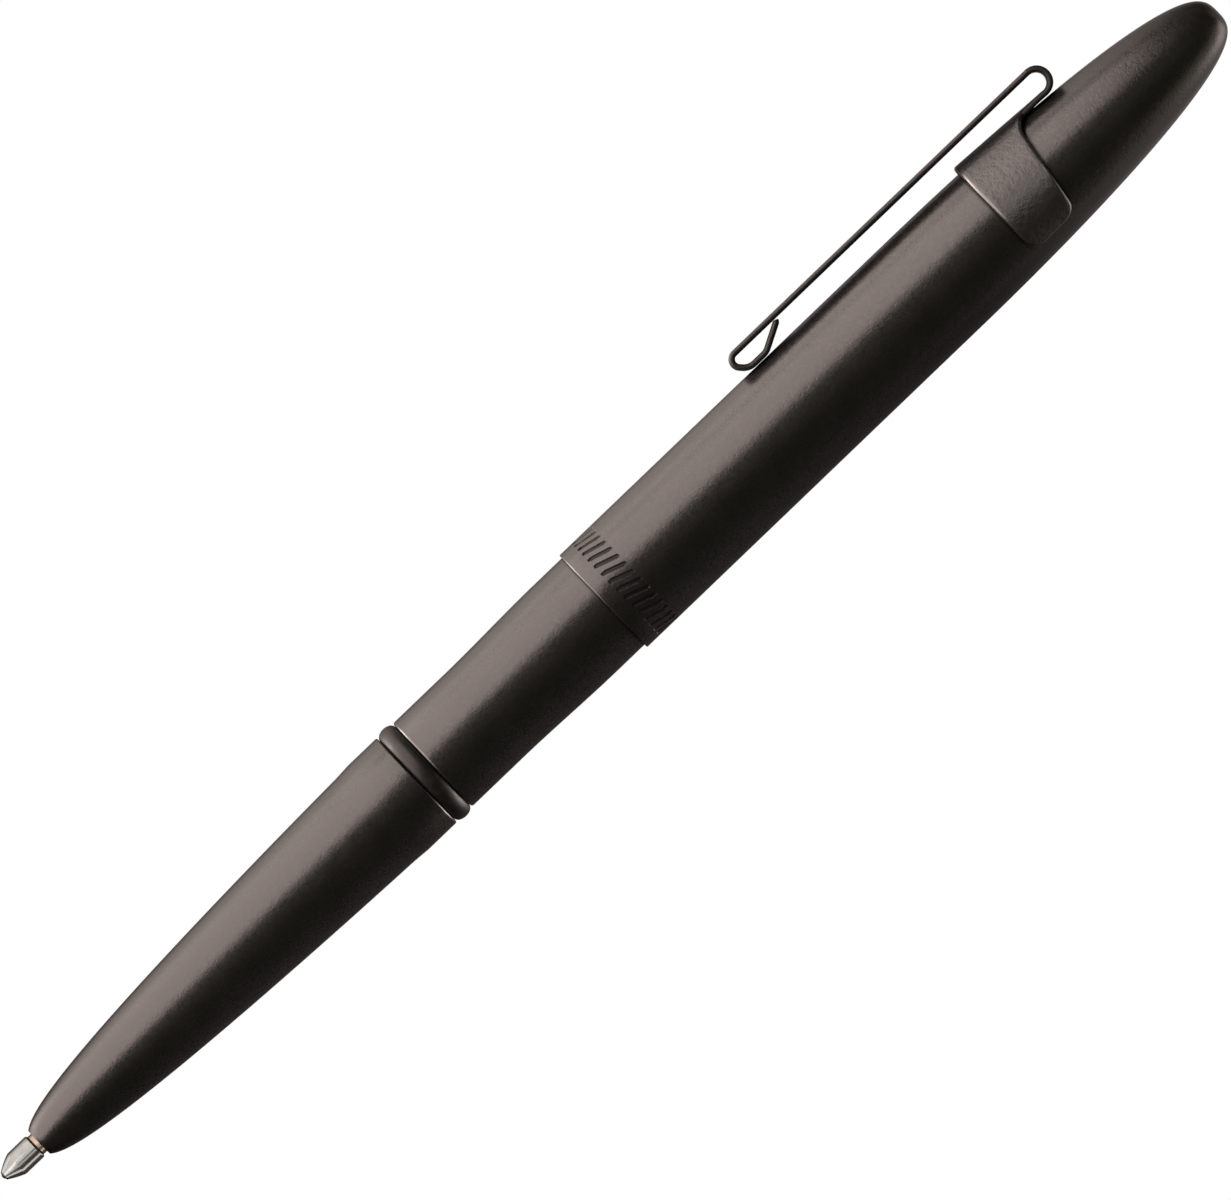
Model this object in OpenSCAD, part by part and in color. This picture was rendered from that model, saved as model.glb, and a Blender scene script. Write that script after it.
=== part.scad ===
// Bullet-shaped ballpoint pen with its cap posted on the rear end.
// Millimetres. The pen lies along X: its writing point is at the origin and the cap's dome is at +X.
// The clip is on the +Y side and +Z is up.

/* [Body] */
// Outer diameter of the barrel where the cap grips it
barrel_d = 9.10; // [9.0:0.05:9.2]
// Diameter of the barrel's front end, beside the ring
barrel_front_d = 8.72; // [8.6:0.02:8.9]
// Length of the barrel, from the ring's groove to the tail
barrel_l = 47.0; // [46.5:0.1:48]
// Largest diameter of the tapered front section
section_d = 8.84; // [8.7:0.02:8.9]
// Length of the front section that shows
section_l = 39.75; // [39:0.25:41]
// Width of the groove that holds the rubber ring
groove_w = 1.62; // [1.5:0.02:1.8]

/* [Cap] */
// Outer diameter of the cap
cap_d = 9.65; // [9.6:0.05:9.9]
// Length of the cap
cap_l = 64.7; // [63:0.1:66]
// Length of the whole pen with its cap posted
posted_l = 127.9; // [126:0.1:129]
// Number of slanted cuts in the band round the cap's mouth
band_cuts = 36; // [12:1:48]

/* [Clip] */
// Thickness of the clip's spring strip
clip_t = 0.50; // [0.4:0.02:0.55]
// Width of the clip's arm
arm_w = 3.46; // [3:0.02:4]
// Height of the arm's outer face above the pen's axis
arm_y = 6.96; // [6.92:0.02:7.04]
// Outer radius of the fold between tongue and arm
fold_r = 1.28; // [1.24:0.01:1.29]
// How far each wing wraps down past the axis
wing_drop = 3.50; // [3:0.05:3.8]

/* [Refill] */
// Diameter of the refill's cartridge tube
tube_d = 5.70; // [5.5:0.05:5.75]
// Diameter of the writing ball
ball_d = 0.72; // [0.7:0.02:0.74]
// How far the point stands out of the front section
point_out = 3.85; // [3.7:0.05:4]
// Pitch of the thread that joins section and barrel
pitch = 0.80; // [0.7:0.05:0.9]

/* [Hidden] */
$fn = 96;

COAT = [0.16, 0.15, 0.145];
COAT_CLIP = [0.13, 0.125, 0.12];
BRASS = [0.78, 0.60, 0.32];
STEEL = [0.72, 0.72, 0.74];

run_gap = 0.03;      // radial running clearance between the cap and the barrel
press_gap = 0.01;    // radial gap left between pieces that are pressed together
edge = 0.15;         // edge break of turned parts

land_l = 3.0;        // straight land at the rear of the front section

// Stations along X.
section_x = point_out;
groove_x = section_x + section_l;
barrel_x = groove_x + groove_w;
tail_x = barrel_x + barrel_l;
cap_x = posted_l - cap_l;
dome_l = 29.5;       // length over which the cap narrows to its closed end
tail_l = 18;         // length over which the barrel narrows to its tail
dome_exp = [2.0, 3.07];
tail_exp = [2.5, 2.82];
nose_exp = [1.21, 3.36];
nose_lead = 0.42;    // the section's curve starts this far before its cut-off front face

barrel_r = barrel_d / 2;
barrel_front_r = barrel_front_d / 2;
section_r = section_d / 2;
cap_r = cap_d / 2;
cap_bore_r = barrel_r + run_gap;
tube_r = tube_d / 2;
tube_wall = 0.30;
ball_r = ball_d / 2;

// Thread between the section's tenon and the barrel.
seat_r = 3.60;       // the tenon where the rubber ring sits
thread_core_r = 3.38;
thread_crest_r = 3.66;
thread_gap = 0.07;   // clearance round the thread, on every flank
thread_x = barrel_x + 0.8;
thread_turns = 6;
tenon_end_x = thread_x + thread_turns * pitch + 1.0;
flat_at_crest = 0.20;

// Bores of the front section and the barrel.
refill_bore_r = tube_r + 0.10;
neck_bore_r = 1.75;
point_bore_r = 1.10;
neck_step_x = 8.6;
shoulder_x = 18.3;
barrel_bore_r = 3.15;
spring_bore_r = 2.10;
spring_bore_x = tail_x - 6.7;
spring_end_x = tail_x - 1.8;

// Refill.
tip_rim_x = 0.12;
tip_cone_x = 1.55;
tip_r = 1.055;
tip_end_x = 3.50;
tip_stem_r = 0.62;
tip_stem_x = 6.5;
neck_front_r = 0.90;
neck_r = 1.55;
neck_end_x = 20.0;
tube_x = shoulder_x + 0.1;
tube_end_x = spring_bore_x - 1.0;
float_x = 64;
float_l = 4;
plug_x = tube_end_x - 4;
plug_tail_r = 1.90;
plug_tail_x = tube_end_x + 3.0;

// Radius of a bullet-shaped end at distance x from where its curve begins.
function bullet_r(x, r, l, e) = r * pow(1 - pow(1 - min(max(x, 0) / l, 1), e[0]), 1 / e[1]);

// The same curve as [radius, station] points, crowded towards both of its ends.
function bullet(r, l, e, n = 36) = [
    for (i = [0:n]) [r * pow(sin(90 * i / n), 2 / e[1]), l * (1 - pow(cos(90 * i / n), 2 / e[0]))]
];

// Bullet points of a closed end that points to +X and finishes at station x_end, widest first.
function dome(r, l, e, x_end) = [
    for (p = bullet(r, l, e)) [p[0], x_end - p[1]]
];

function reversed(v) = [for (i = [len(v) - 1:-1:0]) v[i]];
function smooth(t) = t * t * (3 - 2 * t);

// Turns a profile of [radius, station] points about the X axis.
module turned(profile) rotate([0, 90, 0]) rotate_extrude() polygon(profile);

// A plain ring or rod about the X axis.
module rod(r, x0, x1, bore = 0) {
    translate([x0, 0, 0]) rotate([0, 90, 0]) difference() {
        cylinder(r = r, h = x1 - x0);
        if (bore > 0) translate([0, 0, -1]) cylinder(r = bore, h = x1 - x0 + 2);
    }
}

// Sweeps a closed [radius, station] profile along a helix about the X axis, as one closed solid.
// The profile's height above base_r fades in and out over the first and last fade turns.
module helix(profile, base_r, turns, lead, x0, fade = 0, steps = 32) {
    n = len(profile);
    last = round(turns * steps);
    ring = [for (i = [0:last]) let (
        a = 360 * i / steps,
        t = i / steps,
        k = fade == 0 ? 1 : max(0.12, min(1, t / fade, (turns - t) / fade))
    ) for (p = profile) let (r = base_r + (p[0] - base_r) * k)
        [x0 + p[1] + lead * t, r * cos(a), r * sin(a)]
    ];
    sides = [for (i = [0:last - 1]) for (j = [0:n - 1]) let (
        a = i * n + j,
        b = i * n + (j + 1) % n
    ) each [[a, b, b + n], [a, b + n, a + n]]];
    start = [for (j = [1:n - 2]) [0, j + 1, j]];
    finish = [for (j = [1:n - 2]) [last * n, last * n + j, last * n + j + 1]];
    polyhedron(points = ring, faces = concat(sides, start, finish));
}

// Thread form: a flat-crested ridge with 30 degree flanks. Grow widens it on every side.
function thread_form(foot_r, crest_r, grow) = let (
    half_crest = flat_at_crest / 2 + grow,
    half_foot = half_crest + (crest_r - foot_r) * tan(30)
) [[foot_r, -half_foot], [crest_r, -half_crest], [crest_r, half_crest], [foot_r, half_foot]];

module front_section() {
    nose = [for (i = [0:40]) let (x = section_l * pow(i / 40, 2))
        [bullet_r(x + nose_lead, section_r, section_l + nose_lead, nose_exp), section_x + x]];
    body = [for (p = nose) if (p[1] < groove_x - land_l - 0.5) p];
    color(COAT) union() {
        turned(concat(body, [
            [section_r, groove_x - edge - land_l],
            [section_r, groove_x - edge],
            [section_r - edge, groove_x],
            [seat_r, groove_x],
            [seat_r, barrel_x - press_gap],
            [thread_core_r, barrel_x - press_gap],
            [thread_core_r, tenon_end_x - 0.2],
            [thread_core_r - 0.2, tenon_end_x],
            [refill_bore_r, tenon_end_x],
            [refill_bore_r, shoulder_x],
            [neck_bore_r, shoulder_x - 0.7],
            [neck_bore_r, neck_step_x],
            [point_bore_r, neck_step_x - 0.6],
            [point_bore_r, section_x]
        ]));
        helix(thread_form(thread_core_r - 0.05, thread_crest_r, 0), thread_core_r - 0.05,
            thread_turns, pitch, thread_x, fade = 0.5);
    }
}

// Rubber ring: squeezed to the width of its groove, with a crown that stands just proud of the barrel.
module o_ring() {
    mid_x = groove_x + groove_w / 2;
    half = groove_w / 2 - press_gap;
    foot_r = seat_r + press_gap;
    crown_foot_r = section_r - 0.45;
    crown_h = section_r + 0.15 - crown_foot_r;
    crown = [for (a = [0:7.5:180]) [crown_foot_r + crown_h * pow(sin(a), 0.85), mid_x - half * cos(a)]];
    color([0.05, 0.05, 0.05]) turned(concat(
        [[foot_r, mid_x - half + 0.1], [foot_r + 0.1, mid_x - half]],
        crown,
        [[foot_r + 0.1, mid_x + half], [foot_r, mid_x + half - 0.1]]
    ));
}

module barrel_tube() {
    flare_x = barrel_x + 5.5;
    flare_l = 9.5;
    flare = [for (i = [0:12]) [barrel_front_r + (barrel_r - barrel_front_r) * smooth(i / 12),
        flare_x + flare_l * i / 12]];
    color(COAT) difference() {
        turned(concat(
            [[thread_core_r + thread_gap, barrel_x], [barrel_front_r - edge, barrel_x],
                [barrel_front_r, barrel_x + edge]],
            flare,
            reversed(dome(barrel_r, tail_l, tail_exp, tail_x)),
            [
                [0, spring_end_x], [spring_bore_r, spring_end_x], [spring_bore_r, spring_bore_x],
                [barrel_bore_r, spring_bore_x - 0.6], [barrel_bore_r, tenon_end_x + 0.6],
                [thread_core_r + thread_gap, tenon_end_x + 0.3]
            ]
        ));
        helix(thread_form(thread_core_r, thread_crest_r + thread_gap, thread_gap), thread_core_r,
            thread_turns + 2.5, pitch, thread_x - 2 * pitch);
    }
}

// Short compression spring that holds the refill forward.
module tail_spring() {
    wire = 0.18;
    turns = 4;
    gap = 0.05;
    x0 = plug_tail_x + gap + wire;
    lead = (spring_end_x - gap - wire - x0) / turns;
    color(STEEL) helix([for (a = [0:45:315]) [1.62 + wire * cos(a), wire * sin(a)]], 0, turns, lead, x0,
        steps = 24);
}

// Drawn cap: a tube with a domed closed end and a band of slanted cuts near its mouth.
module cap_shell() {
    wall = 0.45;
    cut_x = cap_x + 1.25;
    cut_l = 2.1;
    cut_w = 0.30;
    cut_depth = 0.10;
    color(COAT) difference() {
        turned(concat(
            [[cap_bore_r + 0.05, cap_x], [cap_r - edge, cap_x], [cap_r, cap_x + edge]],
            reversed(dome(cap_r, dome_l, dome_exp, posted_l)),
            dome(cap_bore_r, dome_l, dome_exp, posted_l - wall),
            [[cap_bore_r, cap_x + 0.3]]
        ));
        for (i = [0:band_cuts - 1]) rotate([360 * (i + 0.5) / band_cuts, 0, 0])
            translate([cut_x + cut_l / 2, 0, cap_r]) rotate([0, 0, 20])
                cube([cut_l, cut_w, 2 * cut_depth], center = true);
    }
}

// A strip's middle line as [x, y, heading] stations. Each step is [length] for a straight stretch or
// [radius, turn] for a bend, and a turn to the left is positive.
function step_end(at, step) = let (r = step[0], h = at[2])
    len(step) == 1 ? at + [r * cos(h), r * sin(h), 0]
    : let (turn = step[1], s = sign(turn))
        at + [s * r * (sin(h + turn) - sin(h)), s * r * (cos(h) - cos(h + turn)), turn];

function middle_line(steps, at, i = 0) = i == len(steps) ? [at] : let (
    step = steps[i],
    n = len(step) == 1 ? 1 : ceil(abs(step[1]) / 8)
) concat(
    [for (j = [0:n - 1]) n == 1 ? at : step_end(at, [step[0], step[1] * j / n])],
    middle_line(steps, step_end(at, step), i + 1)
);

function beside(at, d) = [at[0] - d * sin(at[2]), at[1] + d * cos(at[2])];

// Side view of the clip's strip along a middle line that starts at one station.
module strip(steps, at) {
    line = middle_line(steps, at);
    polygon(concat([for (p = line) beside(p, clip_t / 2)], reversed([for (p = line) beside(p, -clip_t / 2)])));
}

fold_x = 115.5 - fold_r;     // centre of the fold
fold_mid_r = fold_r - clip_t / 2;
arm_mid_y = arm_y - clip_t / 2;
saddle_x = 105.1;            // edge of the saddle that faces the pen's mouth
saddle_in_r = 4.88;          // inside radius of the wings at that edge
saddle_lap = 0.02;           // the tongue is this much proud of the wings, inside and out
wing_l = 7.0;
wing_low_l = 4.5;            // width of the wings at their lower edge
wing_lean = 9.0;             // lean of their rear edge
front_c = 1.4;               // radii of their lower corners
rear_c = 1.1;
split_z = 4.3;               // the wings' rear edge turns towards the tongue here
split_y = sqrt(pow(saddle_in_r + clip_t, 2) - pow(split_z, 2));
split_x = saddle_x + wing_low_l + (split_y + wing_drop) * tan(wing_lean);
tongue_x = saddle_x + 4.4;   // the strip is curved up to here, and flat from here to the fold
tongue_top = saddle_in_r + clip_t - saddle_lap;
saddle_tilt = atan((tongue_top - (arm_y - 2 * fold_r + clip_t)) / (fold_x - saddle_x));
foot_x = 82.55;              // outermost point of the foot
foot_r = 0.62;
sole_r = 1.20;
sole_turn = 49;
sole_l = 0.95;
foot_end_turn = 28;
foot_end_l = 1.98;
curl_r = 0.26;
curl_turn = 62;

// Saddle, tongue and fold. The wings wrap round the cap, and the tongue runs to the fold.
module clip_saddle() {
    slope = tan(saddle_tilt);
    out_r = saddle_in_r + clip_t - 2 * saddle_lap;
    color(COAT_CLIP) {
        intersection() {
            translate([saddle_x, 0, 0]) rotate([0, 90, 0]) difference() {
                cylinder(r1 = out_r, r2 = out_r - wing_l * slope, h = wing_l);
                translate([0, 0, -1]) cylinder(r1 = saddle_in_r + slope,
                    r2 = saddle_in_r - (wing_l + 1) * slope, h = wing_l + 2);
            }
            translate([0, 0, -10]) linear_extrude(20) wing_side();
            translate([0, 10, 0]) rotate([90, 0, 0]) linear_extrude(20) wing_top();
        }
        translate([0, 0, -arm_w / 2]) linear_extrude(arm_w) tongue_side();
    }
}

// Side view of the wings: straight front edge, leaning rear edge and rounded lower corners. Above
// split_y, their top view rules the rear edge.
module wing_side() {
    rear = saddle_x + wing_low_l;
    rear_centre = [rear + rear_c * (tan(wing_lean) - 1 / cos(wing_lean)), rear_c - wing_drop];
    front_centre = [saddle_x + front_c, front_c - wing_drop];
    touch_y = rear_centre[1] - rear_c * sin(wing_lean);
    far = 3;
    difference() {
        polygon([[saddle_x, -wing_drop], [rear, -wing_drop], [split_x, split_y],
            [saddle_x + wing_l, split_y], [saddle_x + wing_l, 9], [saddle_x, 9]]);
        difference() {
            translate(front_centre - [far, far]) square(far);
            translate(front_centre) circle(r = front_c);
        }
        difference() {
            polygon([rear_centre, [rear_centre[0], -wing_drop - far], [rear + far, -wing_drop - far],
                [rear + far, touch_y], [rear_centre[0] + rear_c * cos(wing_lean), touch_y]]);
            translate(rear_centre) circle(r = rear_c);
        }
    }
}

// Top view of the wings: their rear edge flows into the tongue in a hollow curve.
module wing_top() {
    z0 = arm_w / 2 - 0.2;
    curve = [for (i = [0:12]) [split_x + (saddle_x + wing_l - split_x) * pow(1 - i / 12, 2),
        z0 + (split_z - z0) * i / 12]];
    for (side = [0, 1]) mirror([0, side])
        polygon(concat([[saddle_x - 1, -0.5], [saddle_x + wing_l, -0.5]], curve,
            [[saddle_x + wing_l, split_z], [saddle_x + wing_l, 7], [saddle_x - 1, 7]]));
}

// Fold and tongue, from the top of the fold to the curved saddle.
module tongue_side() {
    strip([[fold_mid_r, -180 - saddle_tilt], [(fold_x - tongue_x) / cos(saddle_tilt)]],
        [fold_x, arm_mid_y, 0]);
}

// Arm and foot: the strip runs back along the cap and ends in a curled foot whose sole is on the cap.
module clip_arm() {
    arm_x = fold_x - press_gap;
    bend_x = foot_x + foot_r + clip_t / 2;
    sole_y = cap_r + run_gap + clip_t / 2;
    drop = arm_mid_y - foot_r * (1 + cos(sole_turn)) - sole_r * (1 - cos(sole_turn)) - sole_y;
    color(COAT_CLIP) translate([0, 0, -arm_w / 2]) linear_extrude(arm_w) strip([
        [arm_x - bend_x],
        [foot_r, 180 - sole_turn],
        [drop / sin(sole_turn)],
        [sole_r, sole_turn],
        [sole_l],
        [sole_r, foot_end_turn],
        [foot_end_l],
        [curl_r, curl_turn]
    ], [arm_x, arm_mid_y, 180]);
}

module refill_tube() {
    color([0.75, 0.73, 0.68]) turned([
        [neck_r + press_gap, tube_x],
        [tube_r - 0.5, tube_x],
        [tube_r, tube_x + 0.5],
        [tube_r, tube_end_x - 0.4],
        [tube_r - 0.4, tube_end_x],
        [plug_tail_r + press_gap, tube_end_x],
        [plug_tail_r + press_gap, tube_end_x - tube_wall],
        [tube_r - tube_wall, tube_end_x - tube_wall - 0.4],
        [tube_r - tube_wall, tube_x + tube_wall + 0.5],
        [tube_r - tube_wall - 0.5, tube_x + tube_wall],
        [neck_r + press_gap, tube_x + tube_wall]
    ]);
}

// Brass neck that carries the point: its flange is held inside the tube's front end.
module refill_neck() {
    channel = 0.45;
    color(BRASS) turned([
        [tip_stem_r + press_gap, tip_end_x + press_gap],
        [neck_front_r, tip_end_x + press_gap],
        [neck_front_r, neck_step_x - 0.4],
        [neck_r, neck_step_x],
        [neck_r, tube_x + tube_wall + press_gap],
        [tube_r - tube_wall - 0.55, tube_x + tube_wall + press_gap],
        [tube_r - tube_wall - 0.55, neck_end_x],
        [channel, neck_end_x],
        [channel, tip_stem_x + press_gap],
        [tip_stem_r + press_gap, tip_stem_x + press_gap]
    ]);
}

// Point: a rounded cone and a collar, with a seat for the ball and a stem into the neck.
module refill_tip() {
    rim_r = 0.36;
    channel = 0.18;
    cone = [for (i = [0:8]) [rim_r + (tip_r - rim_r) * (1 - pow(1 - i / 8, 1.25)),
        tip_rim_x + (tip_cone_x - tip_rim_x) * i / 8]];
    color(STEEL) difference() {
        turned(concat([[0, tip_rim_x]], cone, [
            [tip_r, tip_end_x - 0.15],
            [tip_r - 0.15, tip_end_x],
            [tip_stem_r, tip_end_x],
            [tip_stem_r, tip_stem_x],
            [0, tip_stem_x]
        ]));
        translate([ball_r, 0, 0]) sphere(r = ball_r + 0.015);
        rod(channel, ball_r, tip_stem_x + 1);
    }
}

module writing_ball() color([0.35, 0.35, 0.37]) translate([ball_r, 0, 0]) sphere(r = ball_r);

module ink_column()
    color([0.03, 0.03, 0.05]) rod(tube_r - tube_wall - 0.02, neck_end_x + 0.02, float_x - 0.02);

// Follower between ink and gas: a plug with two sealing lips.
module float_piston() {
    r = tube_r - tube_wall - 0.02;
    w = r - 0.25;
    color([0.85, 0.85, 0.80]) turned([
        [0, float_x], [r, float_x], [r, float_x + 0.9], [w, float_x + 1.3], [w, float_x + 2.7],
        [r, float_x + 3.1], [r, float_x + float_l], [0, float_x + float_l]
    ]);
}

// Rear plug: seals the tube, and its tail guides the spring.
module refill_plug() {
    r = tube_r - tube_wall - press_gap;
    color([0.15, 0.15, 0.17]) turned([
        [0, plug_x], [r, plug_x], [r, tube_end_x - tube_wall - 0.45],
        [plug_tail_r, tube_end_x - tube_wall - 0.02], [plug_tail_r, plug_tail_x - 0.3],
        [plug_tail_r - 0.3, plug_tail_x], [0, plug_tail_x]
    ]);
}

front_section();
o_ring();
barrel_tube();
tail_spring();
cap_shell();
clip_saddle();
clip_arm();
refill_tube();
refill_neck();
refill_tip();
writing_ball();
ink_column();
float_piston();
refill_plug();
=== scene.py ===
"""Looks of the bullet-shaped pen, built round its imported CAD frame.

Lengths inside the shape code are millimetres in the CAD's own frame: X along the pen from its writing
point, +Y towards the clip, +Z up. They become metres when a mesh is made.
"""
import math

import bmesh
import bpy
from mathutils import Matrix, Vector

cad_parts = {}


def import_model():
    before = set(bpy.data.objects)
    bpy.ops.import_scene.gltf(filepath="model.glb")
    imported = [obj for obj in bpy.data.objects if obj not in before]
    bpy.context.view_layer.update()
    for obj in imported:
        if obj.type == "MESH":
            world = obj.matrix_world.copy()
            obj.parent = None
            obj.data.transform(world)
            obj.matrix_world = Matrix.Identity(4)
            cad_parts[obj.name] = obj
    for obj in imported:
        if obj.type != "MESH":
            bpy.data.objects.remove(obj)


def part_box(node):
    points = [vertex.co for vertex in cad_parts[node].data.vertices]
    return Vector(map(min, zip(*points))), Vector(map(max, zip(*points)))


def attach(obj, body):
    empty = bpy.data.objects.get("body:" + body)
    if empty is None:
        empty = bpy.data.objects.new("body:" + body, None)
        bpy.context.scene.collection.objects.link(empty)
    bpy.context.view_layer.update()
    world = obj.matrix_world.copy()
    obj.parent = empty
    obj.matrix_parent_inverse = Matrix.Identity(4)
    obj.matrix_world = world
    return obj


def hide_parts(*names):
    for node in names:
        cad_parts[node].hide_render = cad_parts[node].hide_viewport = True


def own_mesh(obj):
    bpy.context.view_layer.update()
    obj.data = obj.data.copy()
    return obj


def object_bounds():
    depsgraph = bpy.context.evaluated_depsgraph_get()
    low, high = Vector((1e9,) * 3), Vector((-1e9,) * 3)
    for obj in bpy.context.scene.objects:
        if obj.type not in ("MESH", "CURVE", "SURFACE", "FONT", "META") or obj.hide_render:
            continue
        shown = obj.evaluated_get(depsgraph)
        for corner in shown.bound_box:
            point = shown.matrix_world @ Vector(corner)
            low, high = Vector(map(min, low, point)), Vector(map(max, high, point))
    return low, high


MM = 0.001
TAU = 2 * math.pi

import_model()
cad_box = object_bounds()


# ---------------------------------------------------------------- sizes taken from the frame

def corners(node):
    low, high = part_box(node)
    return low / MM, high / MM


RUN_GAP, PRESS_GAP = 0.03, 0.01      # clearances of running and of pressed fits
SECTION_LOW, SECTION_HIGH = corners("front_section")
RING_LOW, RING_HIGH = corners("o_ring")
BARREL_LOW, BARREL_HIGH = corners("barrel_tube")
CAP_LOW, CAP_HIGH = corners("cap_shell")
ARM_LOW, ARM_HIGH = corners("clip_arm")
SADDLE_LOW, SADDLE_HIGH = corners("clip_saddle")
TUBE_LOW, TUBE_HIGH = corners("refill_tube")
NECK_LOW, NECK_HIGH = corners("refill_neck")
TIP_LOW, TIP_HIGH = corners("refill_tip")
BALL_HIGH = corners("writing_ball")[1]
INK_LOW, INK_HIGH = corners("ink_column")
FLOAT_LOW, FLOAT_HIGH = corners("float_piston")
PLUG_LOW, PLUG_HIGH = corners("refill_plug")
SPRING_LOW, SPRING_HIGH = corners("tail_spring")

SECTION_X, TENON_END = SECTION_LOW.x, SECTION_HIGH.x
SECTION_R = SECTION_HIGH.y
BARREL_X, TAIL_X, BARREL_R = BARREL_LOW.x, BARREL_HIGH.x, BARREL_HIGH.y
CAP_X, CAP_END, CAP_R = CAP_LOW.x, CAP_HIGH.x, CAP_HIGH.y
GROOVE_X = RING_LOW.x - (BARREL_X - RING_HIGH.x)
TUBE_R = TUBE_HIGH.y
TIP_R = TIP_HIGH.y
BALL_R = BALL_HIGH.y
ARM_Y = ARM_HIGH.y
ARM_HALF = ARM_HIGH.z
ARM_X = ARM_HIGH.x
FOLD_X = ARM_X + PRESS_GAP
FOLD_OUT_R = SADDLE_HIGH.x - FOLD_X
SADDLE_X = SADDLE_LOW.x
WING_DROP = -SADDLE_LOW.y

# Sizes inside the pieces, which a box doesn't give.
STRIP_T = 0.50
RIM = STRIP_T / 2                   # reach of the clip strip's half-round edges
EDGE, MOUTH_EDGE = 0.15, 0.20       # radius of an outer edge, and of the barrel's mouth
BREAK = 0.04                        # radius of a deburred edge
NOSE_LEAD, NOSE_EXP = 0.42, (1.21, 3.36)
DOME_L, DOME_EXP = 29.5, (2.0, 3.07)
TAIL_L, TAIL_EXP = 18.0, (2.5, 2.82)
LAND_L = 3.0
SEAT_R = 3.60
STEP_X, SHOULDER_X = 8.6, 18.3      # where the section's bore widens for the refill
PITCH, THREAD_TURNS = 0.80, 6
CORE_R, CREST_R, THREAD_GAP = 3.38, 3.66, 0.07
THREAD_X = BARREL_X + 0.8
BARREL_FRONT_R = 4.36
FLARE_X, FLARE_L = BARREL_X + 5.5, 9.5
BAND_CUTS, BAND_TURN = 36, math.radians(20)
BAND_X, BAND_L, BAND_W, BAND_DEPTH = CAP_X + 1.25, 2.1, 0.30, 0.10


# ---------------------------------------------------------------- shape helpers

def smooth(t):
    t = min(max(t, 0.0), 1.0)
    return t * t * (3 - 2 * t)


def bullet_r(x, r, length, exponents):
    """Radius of a bullet-shaped end at distance x from where its curve begins."""
    share = min(max(x, 0.0) / length, 1.0)
    return r * (1 - (1 - share) ** exponents[0]) ** (1 / exponents[1])


def bullet(r, length, exponents, rows):
    """The same curve as (distance, radius) points, crowded towards both of its ends."""
    out = []
    for i in range(rows + 1):
        a = math.pi / 2 * i / rows
        out.append((length * (1 - math.cos(a) ** (2 / exponents[0])),
                    r * math.sin(a) ** (2 / exponents[1])))
    return out


def dome(r, length, exponents, end_x, rows=56):
    """(x, r) points of a closed end that finishes at end_x, widest first."""
    return [(end_x - d, q) for d, q in reversed(bullet(r, length, exponents, rows))]


def rounded(points, steps=4):
    """A closed outline of (x, r) or (x, r, radius) corners, each with a radius turned into an arc."""
    out, n = [], len(points)
    for i, p in enumerate(points):
        if len(p) == 2:
            out.append(p)
            continue
        here = Vector(p[:2])
        back, ahead = Vector(points[i - 1][:2]) - here, Vector(points[(i + 1) % n][:2]) - here
        angle = back.angle(ahead)
        reach = min(p[2] / math.tan(angle / 2), 0.48 * min(back.length, ahead.length))
        radius = reach * math.tan(angle / 2)
        bisector = (back.normalized() + ahead.normalized()).normalized()
        centre = here + bisector * radius / math.sin(angle / 2)
        a = here + back.normalized() * reach - centre
        b = here + ahead.normalized() * reach - centre
        for k in range(steps + 1):
            out.append(tuple(centre + a.slerp(b, k / steps) * radius))
    return out


def finish_mesh(name, bm, body, nodes, materials, sharp=35):
    """Turns a bmesh in millimetres into a piece that rides on a body and stands for CAD nodes."""
    bmesh.ops.recalc_face_normals(bm, faces=bm.faces)
    limit = math.radians(sharp)
    for edge in bm.edges:
        edge.smooth = not (edge.is_manifold and edge.calc_face_angle(0) > limit)
    for face in bm.faces:
        face.smooth = True
    bm.transform(Matrix.Scale(MM, 4))
    mesh = bpy.data.meshes.new(name)
    bm.to_mesh(mesh)
    bm.free()
    piece = bpy.data.objects.new(name, mesh)
    bpy.context.scene.collection.objects.link(piece)
    for material in materials:
        mesh.materials.append(material)
    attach(piece, body)
    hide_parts(*nodes)
    return piece


def lathe(outline, segments=144, relief=None):
    """Turns a closed (x, r) outline about X. relief(x, r, angle) may return another radius."""
    bm = bmesh.new()
    rings = []
    for x, r in outline:
        if r < 1e-6:
            rings.append([bm.verts.new((x, 0, 0))])
            continue
        ring = []
        for k in range(segments):
            a = TAU * k / segments
            q = relief(x, r, a) if relief else r
            ring.append(bm.verts.new((x, q * math.cos(a), q * math.sin(a))))
        rings.append(ring)
    for i, ring in enumerate(rings):
        other = rings[(i + 1) % len(rings)]
        if len(ring) == 1 and len(other) == 1:
            continue
        for k in range(segments):
            m = (k + 1) % segments
            if len(ring) == 1:
                bm.faces.new((ring[0], other[k], other[m]))
            elif len(other) == 1:
                bm.faces.new((ring[k], other[0], ring[m]))
            else:
                bm.faces.new((ring[k], other[k], other[m], ring[m]))
    return bm


def coat_where(bm, index, test):
    """Gives the piece's material of that index to the faces whose centre (x, r) passes the test."""
    for face in bm.faces:
        c = face.calc_center_median()
        if test(c.x, math.hypot(c.y, c.z)):
            face.material_index = index


def spread(a, b, step):
    """Values from a to b, about a step apart."""
    n = max(1, math.ceil(abs(b - a) / step))
    return [a + (b - a) * i / n for i in range(n + 1)]


# ---------------------------------------------------------------- materials

RANGE_SOCKETS = ("From Min", "From Max", "To Min", "To Max")


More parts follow.
